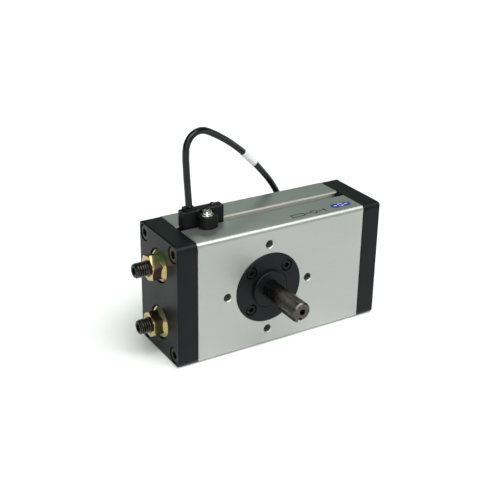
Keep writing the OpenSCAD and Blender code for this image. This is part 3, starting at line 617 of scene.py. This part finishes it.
def make_cores():
    """Two insulated cores with tinned ends out of the cable's cut end."""
    low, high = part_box("cable_cores")
    start = Vector((low.x, (low.y + high.y) / 2, (low.z + high.z) / 2))
    length = high.x - low.x
    made = []
    cores = ((-1, "core_brown", MATERIALS["core_plastic"]), (1, "core_blue", CORE_BLUE))
    for side, name, material in cores:
        begin = start + Vector((CORE_START[0], side * CORE_START[1], 0)) * MM
        shares = [k / CORE_STEPS for k in range(CORE_STEPS + 1)]
        path = [begin + length * Vector((CORE_REACH * t, side * CORE_SPREAD * t * t, 0))
                for t in shares]
        core = curve_piece(name, path, CORE_R * MM, material)
        onward = (path[-1] - path[-2]).normalized()
        tip_path = [path[-1] + onward * d * MM for d in TIP_PLACES]
        tip = curve_piece(name + "_tip", tip_path, CORE_R * TIP_THICKNESS * MM, TINNED)
        for piece in (core, tip):
            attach(piece, "switch")
            made.append(piece)
    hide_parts("cable_cores")
    return made


def make_cable():
    path = cable_path()
    cable = curve_piece("cable", path, CABLE_D / 2, MATERIALS["cable_pvc"])
    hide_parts("sensor_cable", "cable_coil", "cable_tail")
    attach(cable, "switch")
    marker = make_marker()
    tie = soften(nodes["cable_tie"], TIE_EDGE)
    cores = make_cores()


make_cable()

# ---------- adjusting screws ----------

M8_R = 4.0
M8_PITCH = 1.25
THREAD_DEPTH = 0.72
THREAD_ROOT = 0.1            # share of half a pitch that the root takes
THREAD_FLANK = 0.72          # and the flank; the rest is the crest
ROOT_SHADE_R = 3.62               # faces nearer to the axis get the darker steel, painted shade in the thread's roots
SOCKET_AF = 4.0              # hexagon socket, across its flats
SOCKET_DEPTH = 4.0
SOCKET_CONE = 0.8            # cone below the socket
SOCKET_LIP = 0.12            # bevel at the socket's mouth
OUTER_CHAMFER = 0.75
INNER_CHAMFER = 0.6
RIM = 0.1                    # from the end face to the chamfer
RIM_X = 0.05
AXIS_R = 0.02                # radius of the point where an end closes
SCREW_SIDES = 72
PITCH_ROWS = 10              # rows of vertices in one pitch
SHARP_ANGLE = 40             # degrees


def thread_radius(turn):
    """Radius of a 60 degree thread at a share of its pitch, with a flat crest."""
    share = abs((turn % 1.0) - 0.5) * 2          # 0 in the root, 1 on the crest
    return M8_R - THREAD_DEPTH * (1 - ease((share - THREAD_ROOT) / THREAD_FLANK))


def socket_radius(angle):
    sector = math.radians(60)
    return SOCKET_AF / 2 / math.cos((angle % sector) - sector / 2)


def make_stop_screw(node, body):
    """Set screw with a real helical thread and a hexagon socket in its outer end."""
    low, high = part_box(node)
    centre = Vector((low.x, (low.y + high.y) / 2, (low.z + high.z) / 2))
    length = (high.x - low.x) / MM
    angles = ring_angles(SCREW_SIDES)
    socket = [socket_radius(a) for a in angles]

    def ring(x, radii):
        return [centre + Vector((x, r * math.cos(a), r * math.sin(a))) * MM
                for r, a in zip(radii, angles)]

    def round_ring(x, r):
        return ring(x, [r] * SCREW_SIDES)

    # the socket's cone, floor, wall and mouth, the end face, the thread, the inner end
    profile = [
        round_ring(SOCKET_DEPTH + SOCKET_CONE, AXIS_R),
        ring(SOCKET_DEPTH, socket),
        ring(SOCKET_LIP, socket),
        ring(0.0, [r + SOCKET_LIP for r in socket]),
        round_ring(0.0, M8_R - OUTER_CHAMFER - RIM),
    ]
    for row in range(int(length / M8_PITCH * PITCH_ROWS) + 1):
        x = min(RIM_X + row * M8_PITCH / PITCH_ROWS, length)
        limit = min(M8_R - OUTER_CHAMFER + x, M8_R - INNER_CHAMFER + (length - x))
        profile.append(ring(x, [min(thread_radius(x / M8_PITCH - k / SCREW_SIDES), limit)
                                for k in range(SCREW_SIDES)]))
    profile.append(round_ring(length, AXIS_R))
    faces = [(a, d, c, b) for a, b, c, d in tube_faces(len(profile), SCREW_SIDES)]
    screw = mesh_piece(node + "_threaded", sum(profile, []), faces, CREST_HIGHLIGHT_STEEL)
    screw.data.set_sharp_from_angle(angle=math.radians(SHARP_ANGLE))
    # Painted shade: faces near the axis, the thread's roots, socket and end face, take the darker
    # black oxide steel. The crests keep the lighter painted-highlight copy.
    screw.data.materials.append(MATERIALS["black_steel"])
    for face in screw.data.polygons:
        across = Vector((0, face.center.y - centre.y, face.center.z - centre.z))
        face.material_index = int(across.length < ROOT_SHADE_R * MM)
    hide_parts(node)
    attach(screw, body)


make_stop_screw("upper_adjusting_screw", "upper_screw")
make_stop_screw("lower_adjusting_screw", "lower_screw")

# ---------- edges of the carried-over parts ----------

EDGES = {
    "body_housing": 0.12, "left_end_cap": 0.2, "right_end_cap": 0.2,
    "left_cap_screws": 0.12, "right_cap_screws": 0.12,
    "bearing_flange": 0.12, "flange_screws": 0.1, "pinion_shaft": 0.1, "shaft_key": 0.1,
    "upper_lock_nut": 0.15, "lower_lock_nut": 0.15,
    "switch_housing": 0.25, "clamp_insert": 0.08, "clamp_washer": 0.08, "clamp_screw": 0.1,
    "switch_lens": 0.1,
}
for edge_node, edge_width in EDGES.items():
    soften(nodes[edge_node], edge_width)

# ---------- printed label ----------

LABEL_AT = (50.2, 7.6)       # middle of the label on the top face, in x and y
LABEL_SIZE = (12.6, 4.6)
LABEL_T = 0.1
SYMBOL_AT = (29.0, 6.4)      # middle of the printed symbol
PRINT_T = 0.02
LABEL_SUNK = 0.01            # how far a print's underside is below its surface
MARK_SUNK = 0.005
PILL_STEPS = 12
ARC_STEPS = 20

# Arcs are (radius, width, first degree, last degree), boxes (x0, y0, x1, y1) from the middle.
MARK_ARCS = ((1.45, 0.5, 20, 160), (1.45, 0.5, 200, 340))
MARK_BOXES = ((-4.6, -0.3, -2.3, 0.3), (2.3, -0.3, 4.6, 0.3))
SYMBOL_RING = 2.7            # x of the symbol's two arcs
SYMBOL_ARCS = ((1.7, 0.65, 5, 175), (1.7, 0.65, 185, 355))
SYMBOL_BOXES = (
    (-11, -1.7, -4, -1.1), (-11, 1.1, -4, 1.7), (-11.6, -1.7, -11, 1.7),
    (-4, -1.7, -3.4, 1.7), (-3.4, -0.3, 0.6, 0.3), (4.8, -0.3, 9.4, 0.3),
    (9.4, -1.7, 10.1, 1.7),
)


def flat_piece(name, outlines, z_low, z_high, material):
    """Thin solid islands on the top face; each outline is a list of (x, y) points."""
    verts, faces = [], []
    for outline in outlines:
        base, count = len(verts), len(outline)
        verts += [Vector((x, y, z)) * MM for z in (z_low, z_high) for x, y in outline]
        faces.append(tuple(base + count - 1 - k for k in range(count)))
        faces.append(tuple(base + count + k for k in range(count)))
        for k in range(count):
            after = (k + 1) % count
            faces.append((base + k, base + after, base + count + after, base + count + k))
    piece = mesh_piece(name, verts, faces, material, smooth=False)
    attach(piece, "body")


def pill(centre, size):
    """Outline of a rectangle with round ends."""
    r = size[1] / 2
    run = size[0] / 2 - r
    arc = [math.pi * k / PILL_STEPS for k in range(PILL_STEPS + 1)]
    return [(centre[0] + side * (run + r * math.sin(a)), centre[1] - side * r * math.cos(a))
            for side in (1, -1) for a in arc]


def boxes(middle, corners):
    x, y = middle
    return [[(x + x0, y + y0), (x + x1, y + y0), (x + x1, y + y1), (x + x0, y + y1)]
            for x0, y0, x1, y1 in corners]


def arc_band(centre, radius, width, start, stop):
    """Outline of a bent stroke between two angles in degrees."""
    angles = [math.radians(start + (stop - start) * k / ARC_STEPS) for k in range(ARC_STEPS + 1)]
    outside = [(radius + width / 2, a) for a in angles]
    inside = [(radius - width / 2, a) for a in reversed(angles)]
    return [(centre[0] + r * math.cos(a), centre[1] + r * math.sin(a))
            for r, a in outside + inside]


def make_label():
    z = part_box("body_housing")[1].z / MM
    flat_piece("label_plate", [pill(LABEL_AT, LABEL_SIZE)], z - LABEL_SUNK, z + LABEL_T,
               LABEL_BLUE)
    mark = [arc_band(LABEL_AT, *arc) for arc in MARK_ARCS] + boxes(LABEL_AT, MARK_BOXES)
    top = z + LABEL_T
    flat_piece("label_mark", mark, top - MARK_SUNK, top + PRINT_T, MATERIALS["marker_white"])
    ring_middle = (SYMBOL_AT[0] + SYMBOL_RING, SYMBOL_AT[1])
    symbol = boxes(SYMBOL_AT, SYMBOL_BOXES) + [arc_band(ring_middle, *arc) for arc in SYMBOL_ARCS]
    flat_piece("printed_symbol", symbol, z - LABEL_SUNK, z + PRINT_T, PRINT_BLACK)


make_label()

# ---------- studio ----------

# Each sun is (name, direction it comes from, strength, angle in radians).
SUNS = (
    ("sky_right", (0.42, -0.46, 1.0), 1.5, 0.7),
    ("sky_left", (-0.20, -0.45, 1.0), 2.1, 0.9),
)
# Each area light is (name, place and size in metres, power, colour), and aims at the origin.
AREA_LIGHTS = (
    ("key", (-0.55, -1.0, 0.55), (0.7, 0.7), 5, (1, 1, 1)),
    ("rim", (0.5, 0.9, 0.9), (0.5, 0.3), 1.0, (0.86, 1.0, 0.89)),
)
# The world's colours, from light in front and below over green-grey to dark overhead.
WORLD_STOPS = (
    (0.0, (0.54, 0.54, 0.51)), (0.42, (0.18, 0.29, 0.22)), (0.85, (0.04, 0.055, 0.045)),
)
WORLD_BY_HEIGHT = 0.6        # how far up the ramp a step along Z goes
WORLD_BY_DEPTH = 0.25        # and one along Y
WORLD_START = 0.25
FLOOR_HALF = 6.0             # metres
FLOOR_SHADES = ((0.3, (0.93, 0.93, 0.93)), (0.7, (0.94, 0.94, 0.94)))


def new_light(name, kind):
    data = bpy.data.lights.new(name, kind)
    light = bpy.data.objects.new(name, data)
    bpy.context.scene.collection.objects.link(light)
    return light, data


def area_light(name, place, size, power, colour):
    light, data = new_light(name, "AREA")
    data.shape = "RECTANGLE"
    data.size, data.size_y = size
    data.energy = power
    data.color = colour
    light.location = place
    light.rotation_euler = (-Vector(place)).to_track_quat("-Z", "Y").to_euler()


def sun_light(name, direction, strength, angle):
    light, data = new_light(name, "SUN")
    data.energy = strength
    data.angle = angle
    light.rotation_euler = Vector(direction).to_track_quat("Z", "Y").to_euler()


def make_world():
    """Studio room: dark overhead, dim and slightly green behind, light behind the camera."""
    world = bpy.data.worlds.new("studio")
    bpy.context.scene.world = world
    world.use_nodes = True
    room = Nodes(world.node_tree)
    _, depth, height = room.split("Generated")
    start = room.math("MULTIPLY_ADD", depth, WORLD_BY_DEPTH, WORLD_START)
    place = room.math("MULTIPLY_ADD", height, WORLD_BY_HEIGHT, start)
    background = room.tree.nodes["Background"]
    room.join(room.ramp(place, WORLD_STOPS), background.inputs["Color"])


def make_floor():
    s = Shader("floor_white")
    cloud = s.noise(scale=6, detail=2, roughness=0.5)
    s.set(Base_Color=s.ramp(cloud, FLOOR_SHADES), Roughness=0.9, Specular_IOR_Level=0.1)
    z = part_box("body_housing")[0].z
    around = ((-1, -1), (1, -1), (1, 1), (-1, 1))
    corners = [(FLOOR_HALF * x, FLOOR_HALF * y, z) for x, y in around]
    floor = mesh_piece("floor", corners, [(0, 1, 2, 3)], s.material, smooth=False)


make_floor()
make_world()
for sun in SUNS:
    sun_light(*sun)
for area in AREA_LIGHTS:
    area_light(*area)
bpy.context.scene.view_settings.view_transform = "Standard"
